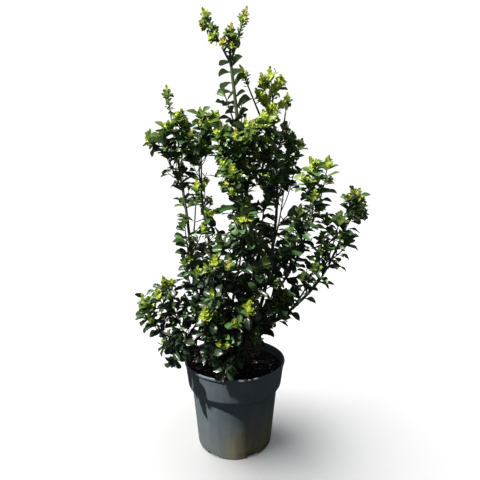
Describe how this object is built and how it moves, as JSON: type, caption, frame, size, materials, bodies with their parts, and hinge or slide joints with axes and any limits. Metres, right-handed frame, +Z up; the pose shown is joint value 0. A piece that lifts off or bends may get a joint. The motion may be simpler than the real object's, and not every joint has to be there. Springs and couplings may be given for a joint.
{
  "type": "potted holly shrub",
  "caption": "Young evergreen shrub with upright leafy stems rising from a short woody foot in a round tapered nursery pot of soil.",
  "frame": {"origin": "middle of the pot's flat underside", "axes": "+Z up along the pot's axis, -Y towards the front of the plant, +X towards its long low shoot"},
  "size_m": [0.5175, 0.3481, 1.0024],
  "materials": {
    "pot_plastic": "satin",
    "soil_compost": "matte",
    "stem_bark": "matte",
    "leaf_foliage": "satin"
  },
  "bodies": {
    "root": {"bough_left_inner": "stem_bark", "bough_right_outer": "stem_bark", "foliage_back_high": "leaf_foliage", "foliage_back_left_low": "leaf_foliage", "foliage_back_left_top": "leaf_foliage", "foliage_back_right_low": "leaf_foliage", "foliage_back_right_top": "leaf_foliage", "foliage_far_front": "leaf_foliage", "foliage_far_low": "leaf_foliage", "foliage_far_mid": "leaf_foliage", "foliage_far_top": "leaf_foliage", "foliage_foot_back": "leaf_foliage", "foliage_foot_front": "leaf_foliage", "foliage_foot_left": "leaf_foliage", "foliage_foot_right": "leaf_foliage", "foliage_front_left": "leaf_foliage", "foliage_front_low": "leaf_foliage", "foliage_front_low_left": "leaf_foliage", "foliage_front_right": "leaf_foliage", "foliage_front_top": "leaf_foliage", "foliage_inner_right": "leaf_foliage", "foliage_inner_top": "leaf_foliage", "foliage_leader_high_left": "leaf_foliage", "foliage_leader_high_right": "leaf_foliage", "foliage_leader_low_front": "leaf_foliage", "foliage_leader_mid_left": "leaf_foliage", "foliage_leader_mid_right": "leaf_foliage", "foliage_left_front": "leaf_foliage", "foliage_left_high": "leaf_foliage", "foliage_left_low": "leaf_foliage", "foliage_left_mid": "leaf_foliage", "foliage_left_top": "leaf_foliage", "foliage_left_top_outer": "leaf_foliage", "foliage_left_top_spire": "leaf_foliage", "foliage_low_left_edge": "leaf_foliage", "foliage_low_left_high": "leaf_foliage", "foliage_low_left_tip": "leaf_foliage", "foliage_outer_mid": "leaf_foliage", "foliage_outer_top": "leaf_foliage", "foliage_outer_top_right": "leaf_foliage", "foliage_right_high_front": "leaf_foliage", "foliage_right_high_right": "leaf_foliage", "foliage_right_mid_right": "leaf_foliage", "foliage_right_top": "leaf_foliage", "foliage_right_top_left": "leaf_foliage", "foliage_right_top_right": "leaf_foliage", "foliage_spire_centre": "leaf_foliage", "foliage_spire_left": "leaf_foliage", "foliage_spire_right": "leaf_foliage", "pot": "pot_plastic", "soil": "soil_compost", "stem_back_left": "stem_bark", "stem_back_right": "stem_bark", "stem_far_right": "stem_bark", "stem_foot": "stem_bark", "stem_front": "stem_bark", "stem_leader": "stem_bark", "stem_left": "stem_bark", "stem_low_left": "stem_bark", "stem_right": "stem_bark"}
  },
  "joints": []
}
